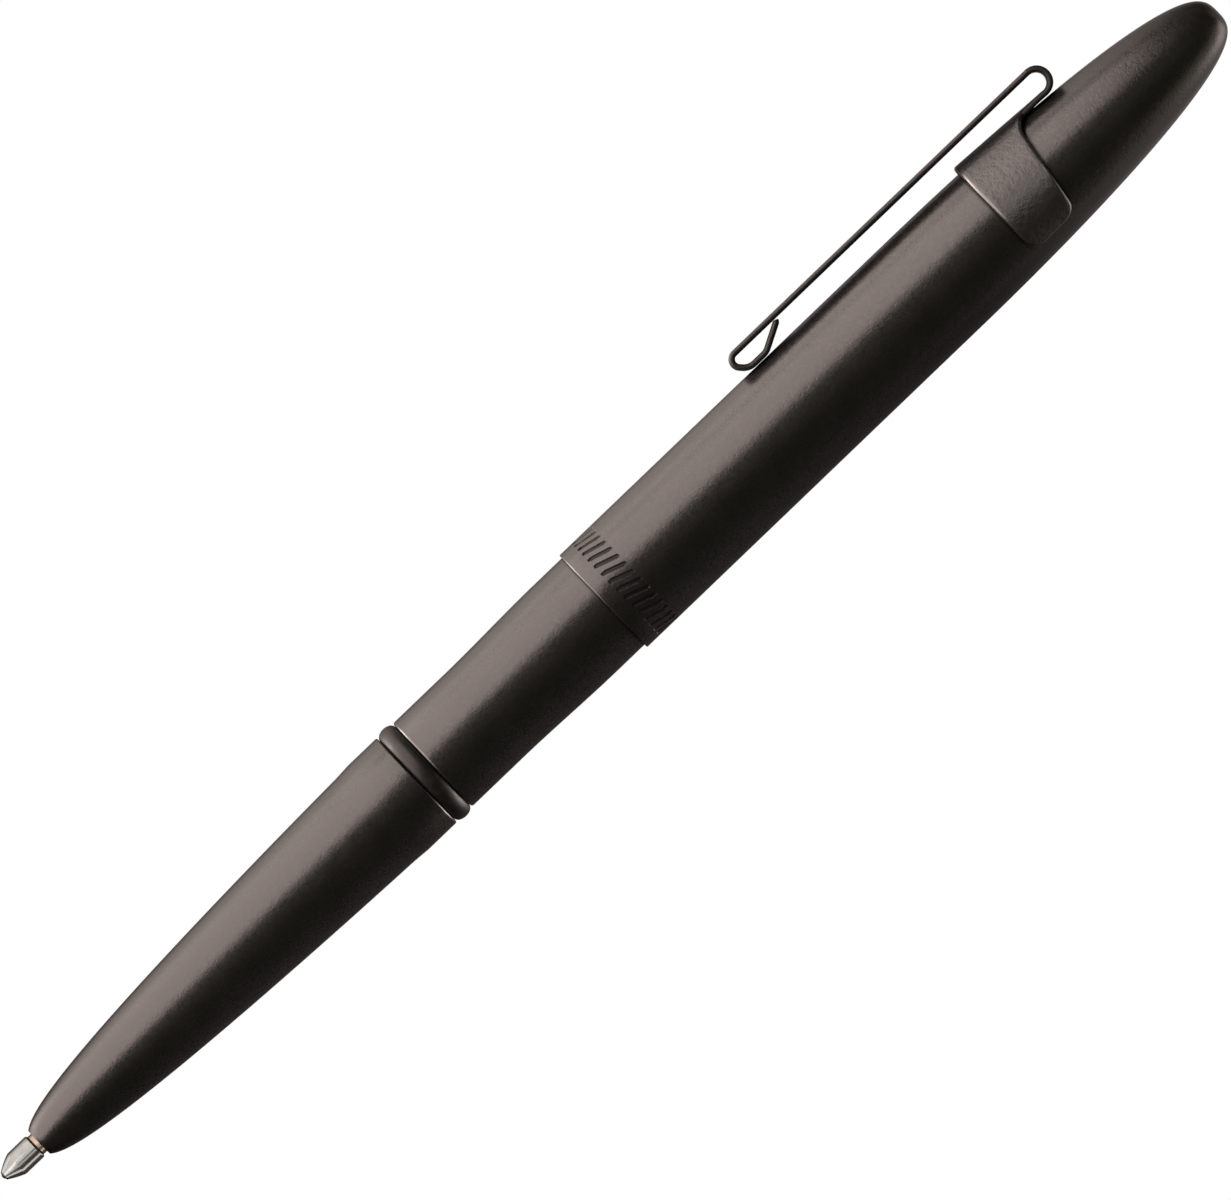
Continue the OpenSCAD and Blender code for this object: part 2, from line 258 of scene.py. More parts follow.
class Nodes:
    """A short way to wire a Principled material."""

    def __init__(self, name):
        self.material = bpy.data.materials.new(name)
        self.material.use_nodes = True
        self.tree = self.material.node_tree
        self.shader = self.tree.nodes["Principled BSDF"]
        self.where = self.add("ShaderNodeTexCoord").outputs["Object"]

    def add(self, kind, **values):
        node = self.tree.nodes.new(kind)
        for key, value in values.items():
            setattr(node, key, value)
        return node

    def link(self, source, node, socket):
        self.tree.links.new(source, node.inputs[socket])

    def stretched(self, scale):
        node = self.add("ShaderNodeMapping")
        self.link(self.where, node, "Vector")
        node.inputs["Scale"].default_value = scale
        return node.outputs["Vector"]

    def noise(self, size_mm, detail=2.0, rough=0.5, vector=None):
        node = self.add("ShaderNodeTexNoise")
        self.link(vector or self.where, node, "Vector")
        node.inputs["Scale"].default_value = 1 / (size_mm * MM)
        node.inputs["Detail"].default_value = detail
        node.inputs["Roughness"].default_value = rough
        return node.outputs["Fac"]

    def ramp(self, source, low, high, out_low, out_high):
        node = self.add("ShaderNodeMapRange", interpolation_type="SMOOTHSTEP")
        self.link(source, node, "Value")
        for socket, value in zip(RANGE_SOCKETS, (low, high, out_low, out_high)):
            node.inputs[socket].default_value = value
        return node.outputs["Result"]

    def mix(self, factor, dark, light):
        node = self.add("ShaderNodeMix", data_type="RGBA")
        self.link(factor, node, "Factor")
        node.inputs["A"].default_value = (*dark, 1)
        node.inputs["B"].default_value = (*light, 1)
        return node.outputs["Result"]

    def bump(self, height, depth_mm, strength=1.0, under=None):
        node = self.add("ShaderNodeBump")
        self.link(height, node, "Height")
        node.inputs["Strength"].default_value = strength
        node.inputs["Distance"].default_value = depth_mm * MM
        if under:
            self.link(under, node, "Normal")
        return node.outputs["Normal"]

    def shade(self, color, roughness, normal=None, **values):
        self.link(color, self.shader, "Base Color")
        self.link(roughness, self.shader, "Roughness")
        if normal:
            self.link(normal, self.shader, "Normal")
        for key, value in values.items():
            self.shader.inputs[key.replace("_", " ")].default_value = value
        return self.material


def coat(name, rough, pebble_mm, pebble_depth, grain_depth, tone=1.0, ior=1.5, seam_shade_mm=0):
    """Matte baked coat: grain, pebbling and slow changes of tone and gloss. With seam_shade_mm, its
    sheen is dimmed that close to another surface by ambient occlusion: painted shade in the seams."""
    n = Nodes(name)
    cloud = n.noise(2.2, 3.0)
    grain = n.noise(0.16, 2.0, 0.6)
    pebble = n.noise(pebble_mm, 3.0, 0.55)
    color = n.mix(n.ramp(cloud, 0.3, 0.7, 0, 1), [tone * v for v in (0.0060, 0.0058, 0.0050)],
                  [tone * v for v in (0.0095, 0.0088, 0.0078)])
    roughness = n.ramp(pebble, 0.25, 0.75, rough, rough + 0.07)
    normal = n.bump(grain, grain_depth)
    normal = n.bump(pebble, pebble_depth, 1.0, normal)
    if seam_shade_mm:
        # Painted shade: ambient occlusion lowers the coat's specular level within this distance of
        # another surface.
        near = n.add("ShaderNodeAmbientOcclusion")
        near.inputs["Distance"].default_value = seam_shade_mm * MM
        n.link(n.ramp(near.outputs["AO"], 0.55, 0.90, 0.1, 0.8), n.shader, "Specular IOR Level")
    return n.shade(color, roughness, normal, Specular_IOR_Level=0.8, IOR=ior)


def rubber():
    """Dusty black rubber with a fine moulded skin."""
    n = Nodes("ring_rubber")
    dust = n.noise(0.5, 4.0, 0.6)
    skin = n.noise(0.12, 2.0)
    color = n.mix(n.ramp(dust, 0.45, 0.75, 0, 1), (0.006, 0.006, 0.005), (0.012, 0.011, 0.010))
    return n.shade(color, n.ramp(dust, 0.3, 0.7, 0.38, 0.50), n.bump(skin, 0.006, 0.6),
                   Specular_IOR_Level=0.4)


def turned_metal(name, dark, light, rough_low, rough_high, groove_mm=0.05, depth=0.0012, metallic=1.0):
    """Bare metal with fine lathe marks round the X axis and a little staining."""
    n = Nodes(name)
    marks = n.noise(groove_mm, 2.0, 0.6, n.stretched((1, 0.04, 0.04)))
    stain = n.noise(0.9, 4.0, 0.6)
    color = n.mix(n.ramp(stain, 0.35, 0.7, 0, 1), dark, light)
    roughness = n.ramp(marks, 0.3, 0.7, rough_low, rough_high)
    return n.shade(color, roughness, n.bump(marks, depth, 0.7), Metallic=metallic)


def moulded(name, dark, light, rough):
    """Moulded plastic with faint flow marks."""
    n = Nodes(name)
    flow = n.noise(1.5, 3.0)
    skin = n.noise(0.15, 2.0)
    color = n.mix(flow, dark, light)
    return n.shade(color, n.ramp(flow, 0.3, 0.7, rough, rough + 0.1), n.bump(skin, 0.005, 0.4))


def ink_fill():
    """Thick blue-black ink."""
    n = Nodes("ink_fill")
    swirl = n.noise(0.8, 4.0)
    color = n.mix(swirl, (0.004, 0.004, 0.008), (0.012, 0.012, 0.022))
    return n.shade(color, n.ramp(swirl, 0.3, 0.7, 0.12, 0.2), n.bump(swirl, 0.01, 0.3))


# The black coat carries painted shade in its seams, within 0.5 mm of another surface.
BLACK_COAT = coat("black_coat", 0.25, 0.40, 0.013, 0.012, seam_shade_mm=0.5)
CLIP_COAT = coat("clip_coat", 0.34, 0.42, 0.044, 0.018, 0.7, 1.56)
# A shinier, more reflective copy of the coat for rounded edges: it paints brighter highlight lines
# along them.
EDGE_COAT = coat("edge_coat", 0.26, 0.30, 0.006, 0.006, 1.0, 1.75)
ARM_EDGE_COAT = coat("arm_edge_coat", 0.46, 0.40, 0.020, 0.014, 0.8, 1.40)
# A darker, duller copy of the coat: painted shade, used in the engraved cuts' floors and on the clip's
# rear rims.
SHADE_COAT = coat("painted_shade_coat", 0.50, 0.20, 0.010, 0.010, 0.5, 1.3)
RUBBER = rubber()
BARE_BRASS = turned_metal("bare_brass", (0.42, 0.27, 0.12), (0.56, 0.38, 0.18), 0.25, 0.4)
NECK_BRASS = turned_metal("neck_brass", (0.205, 0.167, 0.134), (0.25, 0.205, 0.166), 0.22, 0.32,
                          depth=0.0005, metallic=0.9)
POINT_STEEL = turned_metal("point_steel", (0.155, 0.170, 0.170), (0.19, 0.205, 0.20), 0.14, 0.22,
                           depth=0.0005, metallic=0.9)
BALL_CARBIDE = turned_metal("ball_carbide", (0.022, 0.022, 0.022), (0.05, 0.05, 0.05), 0.20, 0.30)
TUBE_METAL = turned_metal("tube_metal", (0.58, 0.52, 0.42), (0.70, 0.64, 0.52), 0.25, 0.38)
SPRING_STEEL = turned_metal("spring_steel", (0.50, 0.50, 0.52), (0.62, 0.62, 0.64), 0.22, 0.34)
FLOAT_PLASTIC = moulded("float_plastic", (0.62, 0.60, 0.52), (0.74, 0.72, 0.64), 0.35)
PLUG_PLASTIC = moulded("plug_plastic", (0.030, 0.030, 0.036), (0.050, 0.050, 0.058), 0.35)
INK = ink_fill()


# ---------------------------------------------------------------- thread and engraving

def thread_height(x, angle, grow):
    """Height above the core of the right-handed thread, widened by grow on each flank."""
    turns = (x - THREAD_X) / PITCH
    nearest = round(turns - angle / TAU) + angle / TAU
    off = abs(turns - nearest) * PITCH
    rise = CREST_R - CORE_R
    half_crest = 0.10 + grow
    full = min(max((half_crest + rise * math.tan(math.radians(30)) - off)
                   / (rise * math.tan(math.radians(30))), 0.0), 1.0) * rise
    if grow:
        return full
    run_in = min(max(nearest, 0.0), max(THREAD_TURNS - nearest, 0.0))
    if nearest < 0 or nearest > THREAD_TURNS:
        return 0.0
    return full * min(run_in / 0.5, 1.0)


def engraved(x, r, angle):
    """Cap radius with a ring of slanted cuts sunk into it."""
    if not BAND_X - 0.2 < x < BAND_X + BAND_L + 0.2 or r < CAP_R - 0.01:
        return r
    step = TAU / BAND_CUTS
    off = (angle / step - 0.5 - round(angle / step - 0.5)) * step * CAP_R
    dx = x - (BAND_X + BAND_L / 2)
    along = dx * math.cos(BAND_TURN) + off * math.sin(BAND_TURN)
    across = off * math.cos(BAND_TURN) - dx * math.sin(BAND_TURN)
    half, round_r = BAND_L / 2, BAND_W / 2
    distance = math.hypot(max(abs(along) - (half - round_r), 0.0), across) - round_r
    return r - BAND_DEPTH * smooth(0.5 - distance / 0.06)


# ---------------------------------------------------------------- turned pieces

def front_section():
    """Tapered grip with the ring's seat and the threaded tenon behind it."""
    length = GROOVE_X - SECTION_X
    nose = [(SECTION_X + x, bullet_r(x + NOSE_LEAD, SECTION_R, length + NOSE_LEAD, NOSE_EXP))
            for x in [length * (i / 70) ** 2 for i in range(71)]]
    body = [p for p in nose if p[0] < GROOVE_X - LAND_L - 0.5]
    thread_rows = [(x, CORE_R) for x in spread(BARREL_X + 0.25, TENON_END - 0.3, 0.045)]
    bore_r, neck_r, point_r = TUBE_R + 0.10, 1.75, 1.10
    outline = rounded([(SECTION_X, point_r, 0.03), *body,
        (GROOVE_X - LAND_L, SECTION_R),
        (GROOVE_X, SECTION_R, EDGE),
        (GROOVE_X, SEAT_R), (BARREL_X - PRESS_GAP, SEAT_R, BREAK), (BARREL_X - PRESS_GAP, CORE_R),
        *thread_rows,
        (TENON_END - 0.2, CORE_R, BREAK), (TENON_END, CORE_R - 0.2, BREAK),
        (TENON_END, bore_r, BREAK), (SHOULDER_X, bore_r), (SHOULDER_X - 0.7, neck_r),
        (STEP_X, neck_r), (STEP_X - 0.6, point_r)])

    def relief(x, r, angle):
        on_thread = BARREL_X + 0.25 <= x <= TENON_END - 0.3 and abs(r - CORE_R) < 1e-6
        return r + thread_height(x, angle, 0) if on_thread else r

    bm = lathe(outline, 160, relief)
    coat_where(bm, 1, lambda x, r: x > BARREL_X + 0.05 or (r < 2.9 and x > 25) or (r < 1.8 and x > 5))
    # Painted highlight: the groove's rounded outer edge takes the shinier edge coat.
    coat_where(bm, 2, lambda x, r: GROOVE_X - EDGE < x < GROOVE_X and r > SECTION_R - EDGE)
    return finish_mesh("grip_section", bm, "section", ["front_section"],
                       [BLACK_COAT, BARE_BRASS, EDGE_COAT])


def o_ring():
    """Rubber ring squeezed to its groove's width: straight flanks and a domed crown."""
    mid_x, half = (RING_LOW.x + RING_HIGH.x) / 2, (RING_HIGH.x - RING_LOW.x) / 2
    inner, crown_foot_r = SEAT_R + PRESS_GAP, SECTION_R - 0.45
    crown_h = RING_HIGH.y - crown_foot_r
    crown = [(mid_x - half * math.cos(a), crown_foot_r + crown_h * math.sin(a) ** 0.85)
             for a in spread(0, math.pi, math.radians(4))[1:-1]]
    outline = rounded([(RING_LOW.x, inner, 0.1), (RING_LOW.x, crown_foot_r), *crown,
                       (RING_HIGH.x, crown_foot_r), (RING_HIGH.x, inner, 0.1)])
    return finish_mesh("rubber_ring", lathe(outline, 160), "ring", ["o_ring"], [RUBBER])


def barrel():
    """Waisted rear tube with a domed tail, threaded inside its mouth."""
    mouth_r = CORE_R + THREAD_GAP
    spring_end, spring_r = SPRING_HIGH.x + 0.05, 2.10
    spring_x = TUBE_HIGH.x + 1.0
    bore_r = 3.15
    flare = [(FLARE_X + FLARE_L * i / 24,
              BARREL_FRONT_R + (BARREL_R - BARREL_FRONT_R) * smooth(i / 24)) for i in range(25)]
    thread_rows = [(x, mouth_r) for x in spread(TENON_END + 0.25, BARREL_X + 0.05, 0.045)]
    outline = rounded([(BARREL_X, mouth_r), (BARREL_X, BARREL_FRONT_R, MOUTH_EDGE), *flare,
        *dome(BARREL_R, TAIL_L, TAIL_EXP, TAIL_X, 44),
        (spring_end, 0), (spring_end, spring_r, 0.3), (spring_x, spring_r),
        (spring_x - 0.6, bore_r), (TENON_END + 0.6, bore_r), (TENON_END + 0.3, mouth_r),
        *thread_rows])

    def relief(x, r, angle):
        if abs(r - mouth_r) > 1e-6 or x > TENON_END + 0.28:
            return r
        return max(r, CORE_R + thread_height(x, angle, THREAD_GAP) + THREAD_GAP)

    bm = lathe(outline, 160, relief)
    coat_where(bm, 1, lambda x, r: BARREL_X + 0.05 < x < TAIL_X - 1.6 and r < min(3.9, bullet_r(
        TAIL_X - x, BARREL_R, TAIL_L, TAIL_EXP) - 0.3))
    # Painted highlight: the mouth's rounded edge takes the shinier edge coat.
    coat_where(bm, 2, lambda x, r: BARREL_X < x < BARREL_X + MOUTH_EDGE
               and r > BARREL_FRONT_R - MOUTH_EDGE)
    return finish_mesh("rear_barrel", bm, "barrel", ["barrel_tube"],
                       [BLACK_COAT, BARE_BRASS, EDGE_COAT])


def cap():
    """Drawn cap with a domed end and a ring of engraved cuts near its lip."""
    wall, bore_r = 0.45, BARREL_R + RUN_GAP
    band_rows = [(x, CAP_R) for x in spread(BAND_X - 0.15, BAND_X + BAND_L + 0.15, 0.045)]
    outline = rounded([(CAP_X, bore_r + 0.05, 0.02), (CAP_X, CAP_R, EDGE), *band_rows,
        *dome(CAP_R, DOME_L, DOME_EXP, CAP_END),
        *reversed(dome(bore_r, DOME_L, DOME_EXP, CAP_END - wall, 40)),
        (CAP_X + 0.3, bore_r)])
    bm = lathe(outline, 720, engraved)
    coat_where(bm, 1, lambda x, r: x < CAP_END - wall
               and r < bullet_r(CAP_END - x, CAP_R, DOME_L, DOME_EXP) - 0.2)
    # Painted shade: the floors of the engraved cuts take the darker shade coat.
    coat_where(bm, 2, lambda x, r: BAND_X < x < BAND_X + BAND_L and CAP_R - 0.12 < r < CAP_R - 0.03)
    # Painted highlight: the lip's rounded edge takes the shinier edge coat.
    coat_where(bm, 3, lambda x, r: CAP_X < x < CAP_X + EDGE and r > CAP_R - EDGE)
    return finish_mesh("cap", bm, "cap", ["cap_shell"],
                       [BLACK_COAT, BARE_BRASS, SHADE_COAT, EDGE_COAT])


# ---------------------------------------------------------------- clip

def walk(steps, at):
    """Stations (x, y, heading) along a strip's middle line. A step is (length,) or (radius, turn)."""
    line = [at]
    for step in steps:
        x, y, h = line[-1]
        if len(step) == 1:
            for d in spread(0, step[0], 0.9)[1:]:
                line.append((x + d * math.cos(h), y + d * math.sin(h), h))
            continue
        r, turn = step
        side = math.copysign(1, turn)
        for a in spread(0, turn, math.radians(6))[1:]:
            line.append((x + side * r * (math.sin(h + a) - math.sin(h)),
                         y + side * r * (math.cos(h) - math.cos(h + a)), h + a))
    return line


def thicken(sheet, seam, end_reach=lambda p: RIM):
    """Closed solid from a middle-surface bmesh: STRIP_T thick, with a half-round rim that reaches
    RIM beyond the sheet, or end_reach(p). The seam row, where another piece carries on, is cut flat."""
    sheet.verts.ensure_lookup_table()
    sheet.verts.index_update()
    sheet.normal_update()
    half, steps = STRIP_T / 2, 8
    bm = bmesh.new()
    upper, lower = ([bm.verts.new(v.co + v.normal * h) for v in sheet.verts] for h in (half, -half))
    for face in sheet.faces:
        ids = [v.index for v in face.verts]
        bm.faces.new([upper[i] for i in ids])
        bm.faces.new([lower[i] for i in reversed(ids)])
    rim = [e for e in sheet.edges if e.is_boundary and not all(seam(v.co) for v in e.verts)]
    outward = {}
    for edge in rim:
        face, (a, b) = edge.link_faces[0], edge.verts
        out = (b.co - a.co).cross(face.normal).normalized()
        if out.dot(face.calc_center_median() - a.co) > 0:
            out.negate()
        for v in (a, b):
            outward[v.index] = outward.get(v.index, Vector()) + out
    arcs = {}
    for i, out in outward.items():
        v = sheet.verts[i]
        out = (out - v.normal * out.dot(v.normal)).normalized() * end_reach(v.co)
        bend = [math.pi * k / steps for k in range(1, steps)]
        arcs[i] = [upper[i], *(bm.verts.new(v.co + v.normal * half * math.cos(t) + out * math.sin(t))
                               for t in bend), lower[i]]
    for edge in rim:
        p, q = (arcs[v.index] for v in edge.verts)
        for k in range(steps):
            bm.faces.new((p[k], p[k + 1], q[k + 1], q[k])).material_index = 1
    row = [v.index for v in sorted(sheet.verts, key=lambda v: v.co.z) if seam(v.co)]
    bm.faces.new([upper[i] for i in row] + arcs[row[-1]][1:-1] + [lower[i] for i in reversed(row)]
                 + arcs[row[0]][-2:0:-1])
    sheet.free()
    return bm


def across(half, n=10):
    """Values from -half to half in n steps."""
    return [half * (2 * j / n - 1) for j in range(n + 1)]


def clip_arm():
    """Straight arm with a foot that curls back, laid out as one line and then given its width."""
    foot_x, foot_r = ARM_LOW.x, 0.62
    sole_r, sole_l, sole_turn = 1.20, 0.95, math.radians(49)
    end_l, end_turn = 1.98, math.radians(28)
    curl_r, curl_turn, end_rim = 0.26, math.radians(62), 0.06
    mid_y = ARM_Y - STRIP_T / 2
    bend_x = foot_x + foot_r + STRIP_T / 2
    sole_y = CAP_R + RUN_GAP + STRIP_T / 2
    drop = mid_y - foot_r * (1 + math.cos(sole_turn)) - sole_r * (1 - math.cos(sole_turn)) - sole_y
    line = walk([(ARM_X - bend_x,), (foot_r, math.pi - sole_turn), (drop / math.sin(sole_turn),),
                 (sole_r, sole_turn), (sole_l,), (sole_r, end_turn), (end_l,),
                 (curl_r, curl_turn - end_rim / curl_r)], (ARM_X, mid_y, math.pi))
    bm = bmesh.new()
    rows = [[bm.verts.new((x, y, z)) for z in across(ARM_HALF - RIM)] for x, y, _ in line]
    for a, b in zip(rows, rows[1:]):
        for j in range(len(a) - 1):
            bm.faces.new((a[j], a[j + 1], b[j + 1], b[j]))
    end = Vector((*line[-1][:2], 0))
    bm = thicken(bm, lambda p: p.x > ARM_X - 0.01,
                 lambda p: RIM if math.dist(p.xy, end.xy) > 0.01 else end_rim)
    return finish_mesh("clip_arm_strip", bm, "clip_arm", ["clip_arm"],
                       [CLIP_COAT, ARM_EDGE_COAT])


def clip_saddle():
    """Wings that wrap the cap, and the tongue between them that folds up into the arm."""
    in_r = SADDLE_HIGH.z - STRIP_T
    mid_r = in_r + STRIP_T / 2
    fold_r = FOLD_OUT_R - STRIP_T / 2
    mid_y = ARM_Y - STRIP_T / 2
    low_y = mid_y - 2 * fold_r
    top = in_r + STRIP_T / 2 - 0.02
    tilt = math.atan((top - low_y) / (FOLD_X - SADDLE_X))
    slope = math.tan(tilt)
    low_l, lean, wing_l = 4.5, math.radians(9), 7.0
    front_c, rear_c = 1.4, 1.1
    split_z = 4.3                   # height where the rear edge turns into the tongue's curve
    flat_x, flat_l = SADDLE_X + 4.6, 4.2    # where the tongue flattens, and over what length
    split_y = math.sqrt((in_r + STRIP_T) ** 2 - split_z ** 2)
    split_x = SADDLE_X + low_l + (split_y + WING_DROP) * math.tan(lean)
    end_angle = math.acos(-WING_DROP / mid_r) - RIM / mid_r
    half_w = ARM_HALF - RIM
    tongue_angle = math.asin(half_w / mid_r)

    def corner_cut(a, radius):
        """How far a corner of that radius at the wing's lower end cuts in at angle a."""
        left = (end_angle - abs(a)) * mid_r
        return radius - math.sqrt(radius ** 2 - (radius - left) ** 2) if left < radius else 0

    def front(a):
        """X of the front edge at angle a from the clip side, rounded at the wing's lower corner."""
        return SADDLE_X + RIM + corner_cut(a, front_c - RIM)

    def rear(a):
        """X of the rear edge: leaning on the wing, then a hollow curve into the tongue."""
        z, y = mid_r * math.sin(abs(a)), mid_r * math.cos(a)
        if abs(a) < math.pi / 2 and z < split_z:
            reach, span = SADDLE_X + wing_l - split_x, split_z - ARM_HALF + 0.2
            steep = math.atan(2 * reach * (split_z - max(z, ARM_HALF)) / span ** 2)
            u = (split_z - max(z + RIM * math.sin(steep), ARM_HALF)) / span
            return split_x + reach * u * u - RIM * math.cos(steep)
        x = SADDLE_X + low_l + (y + WING_DROP) * math.tan(lean)
        return min(x, split_x) - RIM - corner_cut(a, rear_c - RIM)

    def place(x, a):
        """Middle-surface point: on the cap's cone, flattened towards the tongue."""
        r = mid_r - (x - SADDLE_X) * slope
        z, y = r * math.sin(a), r * math.cos(a)
        if abs(a) <= tongue_angle + 1e-6:
            z = half_w * math.sin(a) / math.sin(tongue_angle)
            y = math.sqrt(r * r - z * z)
        flat = smooth((x - flat_x) / flat_l) * (1 - smooth((abs(z) - ARM_HALF) / 1.6))
        if y > 0:
            y += (top - (x - SADDLE_X) * slope - y) * flat
        return Vector((x, y, z))

    n_tongue, n_wing = 10, 34
    wing = [tongue_angle + (end_angle - tongue_angle) * math.sin(math.pi / 2 * k / n_wing)
            for k in range(1, n_wing + 1)]
    tongue = [math.asin(z / mid_r) for z in across(half_w, n_tongue)]
    angles = [-a for a in reversed(wing)] + tongue + wing
    bm = bmesh.new()
    n_rows = 16
    columns = []
    for a in angles:
        f, r = front(a), rear(a)
        columns.append([bm.verts.new(place(f + (r - f) * i / n_rows, a)) for i in range(n_rows + 1)])
    for a, b in zip(columns, columns[1:]):
        for i in range(n_rows):
            bm.faces.new((a[i], a[i + 1], b[i + 1], b[i]))
    tongue_columns = columns[len(wing):len(wing) + n_tongue + 1]
    start_x = rear(0)
    last = [c[-1] for c in tongue_columns]
    stations = [(x, top - (x - SADDLE_X) * slope) for x in spread(start_x, FOLD_X, 0.5)[1:]]
    centre_y = mid_y - fold_r
    fold = [(FOLD_X + fold_r * math.sin(a), centre_y - fold_r * math.cos(a))
            for a in spread(0, math.pi, math.radians(6))[1:]]
    for x, y in stations + fold:
        flat = smooth((x - flat_x) / flat_l)
        row = []
        for z in across(half_w, n_tongue):
            r = mid_r - (x - SADDLE_X) * slope
            bowed = math.sqrt(r * r - z * z) - r
            row.append(bm.verts.new((x, y + bowed * (1 - flat), z)))
        for j in range(n_tongue):
            bm.faces.new((last[j], row[j], row[j + 1], last[j + 1]))
        last = row
    seam_y = mid_y - 0.05
    bm = thicken(bm, lambda p: p.y > seam_y and p.x < FOLD_X + 0.02)
    # Painted shade: past the wings' rear edges the rims take the darker shade coat instead of the edge
    # coat.
    for face in bm.faces:
        if face.material_index == 1 and face.calc_center_median().x > SADDLE_X + wing_l - 0.8:
            face.material_index = 2
    # Painted highlight: the saddle's other half-round rims take the shinier edge coat.
    return finish_mesh("clip_saddle_strip", bm, "clip", ["clip_saddle"],
                       [CLIP_COAT, EDGE_COAT, SHADE_COAT])


# ---------------------------------------------------------------- refill and spring

def refill():
    """The refill's pieces from ball to plug. Returns the two that show in front of the section."""
    tip_x, cone_x, stem_r, channel = TIP_LOW.x, 1.55, 0.62, 0.18
    socket_r = BALL_R + 0.015
    rim_in = math.sqrt(socket_r ** 2 - (BALL_R - tip_x) ** 2)
    rim_r = 0.36
    cone = [(tip_x + (cone_x - tip_x) * t, rim_r + (TIP_R - rim_r) * (1 - (1 - t) ** 1.25))
            for t in spread(0, 1, 0.04)[1:]]
    head_x = NECK_LOW.x - 0.01
    mouth_angle, channel_angle = math.atan2(rim_in, tip_x - BALL_R), math.asin(channel / socket_r)
    seat = [(BALL_R + socket_r * math.cos(a), socket_r * math.sin(a))
            for a in spread(channel_angle, mouth_angle, 0.12)]
    outline = rounded([*seat, (tip_x, rim_r, 0.015), *cone,
        (head_x - 0.15, TIP_R, 0.03), (head_x, TIP_R - 0.15, 0.03), (head_x, stem_r),
        (TIP_HIGH.x, stem_r, 0.05), (TIP_HIGH.x, channel)])
    bm = lathe(outline, 128)
    # The socket's mouth, within 0.12 mm of its front, is drawn dark in the ball's material.
    coat_where(bm, 1, lambda x, r: x < tip_x + 0.12)
    socket = finish_mesh("point_socket", bm, "refill", ["refill_tip"],
                         [POINT_STEEL, BALL_CARBIDE], sharp=40)
    ball = [(BALL_R - BALL_R * math.cos(a), BALL_R * math.sin(a)) for a in spread(0, math.pi, 0.09)]
    ball[0], ball[-1] = (0, 0), (2 * BALL_R, 0)
    finish_mesh("rolling_ball", lathe(ball, 64), "ball", ["writing_ball"],
                [BALL_CARBIDE])
    neck_r, front_r = 1.55, 0.90
    flange_x, flange_r = SHOULDER_X + 0.41, NECK_HIGH.y
    outline = rounded([(NECK_LOW.x, stem_r + PRESS_GAP), (NECK_LOW.x, front_r, 0.04),
        (STEP_X - 0.4, front_r, 0.1), (STEP_X, neck_r, 0.1), (flange_x, neck_r),
        (flange_x, flange_r, 0.05), (NECK_HIGH.x, flange_r, 0.05), (NECK_HIGH.x, 0.45),
        (TIP_HIGH.x + PRESS_GAP, 0.45), (TIP_HIGH.x + PRESS_GAP, stem_r + PRESS_GAP)])
    neck = finish_mesh("brass_neck", lathe(outline, 128), "refill", ["refill_neck"],
                       [NECK_BRASS])
    wall, tail_r = 0.30, 1.91
    outline = rounded([(TUBE_LOW.x, neck_r + PRESS_GAP), (TUBE_LOW.x, TUBE_R - 0.5, 0.1),
        (TUBE_LOW.x + 0.5, TUBE_R, 0.2), (TUBE_HIGH.x - 0.4, TUBE_R, 0.2),
        (TUBE_HIGH.x, TUBE_R - 0.4, 0.1), (TUBE_HIGH.x, tail_r, 0.05), (TUBE_HIGH.x - wall, tail_r),
        (TUBE_HIGH.x - wall - 0.4, TUBE_R - wall), (TUBE_LOW.x + wall + 0.5, TUBE_R - wall),
        (TUBE_LOW.x + wall, TUBE_R - wall - 0.5), (TUBE_LOW.x + wall, neck_r + PRESS_GAP)])
    finish_mesh("cartridge_tube", lathe(outline, 128), "refill", ["refill_tube"],
                [TUBE_METAL])
    outline = rounded([(INK_LOW.x, 0), (INK_LOW.x, INK_HIGH.y, 0.05), (INK_HIGH.x, INK_HIGH.y, 0.05),
                       (INK_HIGH.x, 0)])
    ink = finish_mesh("ink_charge", lathe(outline, 96), "refill", ["ink_column"], [INK])
    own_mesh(ink)
    lip_r, waist_r = FLOAT_HIGH.y, FLOAT_HIGH.y - 0.25
    x = FLOAT_LOW.x
    outline = rounded([(x, 0), (x, lip_r, 0.08), (x + 0.9, lip_r, 0.08), (x + 1.3, waist_r, 0.1),
        (x + 2.7, waist_r, 0.1), (x + 3.1, lip_r, 0.08), (FLOAT_HIGH.x, lip_r, 0.08),
        (FLOAT_HIGH.x, 0)])
    finish_mesh("ink_float", lathe(outline, 96), "float", ["float_piston"],
                [FLOAT_PLASTIC])
    plug_r = PLUG_HIGH.y
    outline = rounded([(PLUG_LOW.x, 0), (PLUG_LOW.x, plug_r, 0.1),
        (TUBE_HIGH.x - wall - 0.45, plug_r, 0.05), (TUBE_HIGH.x - wall - 0.02, tail_r - PRESS_GAP),
        (PLUG_HIGH.x - 0.3, tail_r - PRESS_GAP, 0.1), (PLUG_HIGH.x, tail_r - 0.31, 0.05),
        (PLUG_HIGH.x, 0)])
    finish_mesh("tube_plug", lathe(outline, 96), "refill", ["refill_plug"],
                [PLUG_PLASTIC])
    return socket, neck


